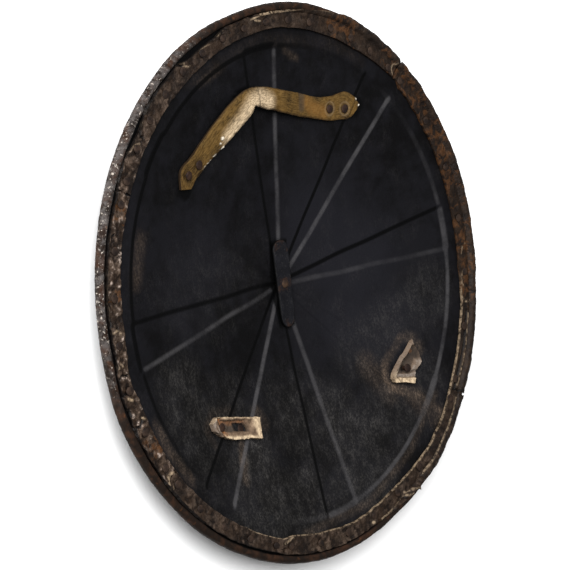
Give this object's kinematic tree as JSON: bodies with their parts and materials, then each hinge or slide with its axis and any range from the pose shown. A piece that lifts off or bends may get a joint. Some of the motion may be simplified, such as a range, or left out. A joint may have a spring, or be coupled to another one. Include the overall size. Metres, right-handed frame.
{
  "type": "rondache shield",
  "caption": "Round blackened iron rondache lying on its front, hollow side up: sunk radial bands, rolled rim, riveted leather lining, arm strap and strap stubs.",
  "frame": {"origin": "bottom centre, on the flat of the centre rivet's outer head that the shield lies on", "axes": "+Z out of the hollow inside, +Y towards the arm strap"},
  "size_m": [0.57, 0.57, 0.0468],
  "materials": {
    "blackened_iron": "blackened hammered sheet, satin, dusty with some rust",
    "bar_iron": "blackened forged bar, satin",
    "rusted_iron": "hand-set rivets, browned with rust",
    "lining_leather": "old dark brown leather, cracked and torn, with rust stains",
    "strap_leather": "buff leather, dry and soiled, paler where it is rubbed"
  },
  "bodies": {
    "root": {"shield_plate": "blackened_iron", "lining_strip_top": "lining_leather", "lining_strip_left": "lining_leather", "lining_strip_lower_left": "lining_leather", "lining_strip_bottom": "lining_leather", "lining_strip_right": "lining_leather", "lining_rivet_01": "rusted_iron", "lining_rivet_02": "rusted_iron", "lining_rivet_03": "rusted_iron", "lining_rivet_04": "rusted_iron", "lining_rivet_05": "rusted_iron", "lining_rivet_06": "rusted_iron", "lining_rivet_07": "rusted_iron", "lining_rivet_08": "rusted_iron", "lining_rivet_09": "rusted_iron", "lining_rivet_10": "rusted_iron", "lining_rivet_11": "rusted_iron", "lining_rivet_12": "rusted_iron", "lining_rivet_13": "rusted_iron", "lining_rivet_14": "rusted_iron", "lining_rivet_15": "rusted_iron", "lining_rivet_16": "rusted_iron", "lining_rivet_17": "rusted_iron", "lining_rivet_18": "rusted_iron", "lining_rivet_19": "rusted_iron", "lining_rivet_20": "rusted_iron", "lining_rivet_21": "rusted_iron", "lining_rivet_22": "rusted_iron", "lining_rivet_23": "rusted_iron", "lining_rivet_24": "rusted_iron", "lining_rivet_25": "rusted_iron", "lining_rivet_26": "rusted_iron", "lining_rivet_27": "rusted_iron", "lining_rivet_28": "rusted_iron", "lining_rivet_29": "rusted_iron", "lining_rivet_30": "rusted_iron", "lining_rivet_31": "rusted_iron", "lining_rivet_32": "rusted_iron", "lining_rivet_33": "rusted_iron", "lining_rivet_34": "rusted_iron", "lining_rivet_35": "rusted_iron", "lining_rivet_36": "rusted_iron", "lining_rivet_37": "rusted_iron", "lining_rivet_38": "rusted_iron", "lining_rivet_39": "rusted_iron", "lining_rivet_40": "rusted_iron", "lining_rivet_41": "rusted_iron", "lining_rivet_42": "rusted_iron", "arm_strap": "strap_leather", "arm_strap_rivet_1": "rusted_iron", "arm_strap_rivet_2": "rusted_iron", "arm_strap_rivet_3": "rusted_iron", "arm_strap_rivet_4": "rusted_iron", "left_strap_stub": "strap_leather", "left_strap_stub_rivet_1": "rusted_iron", "left_strap_stub_rivet_2": "rusted_iron", "right_strap_stub": "strap_leather", "right_strap_stub_rivet_1": "rusted_iron", "centre_bar": "bar_iron", "centre_rivet": "rusted_iron"}
  },
  "joints": []
}
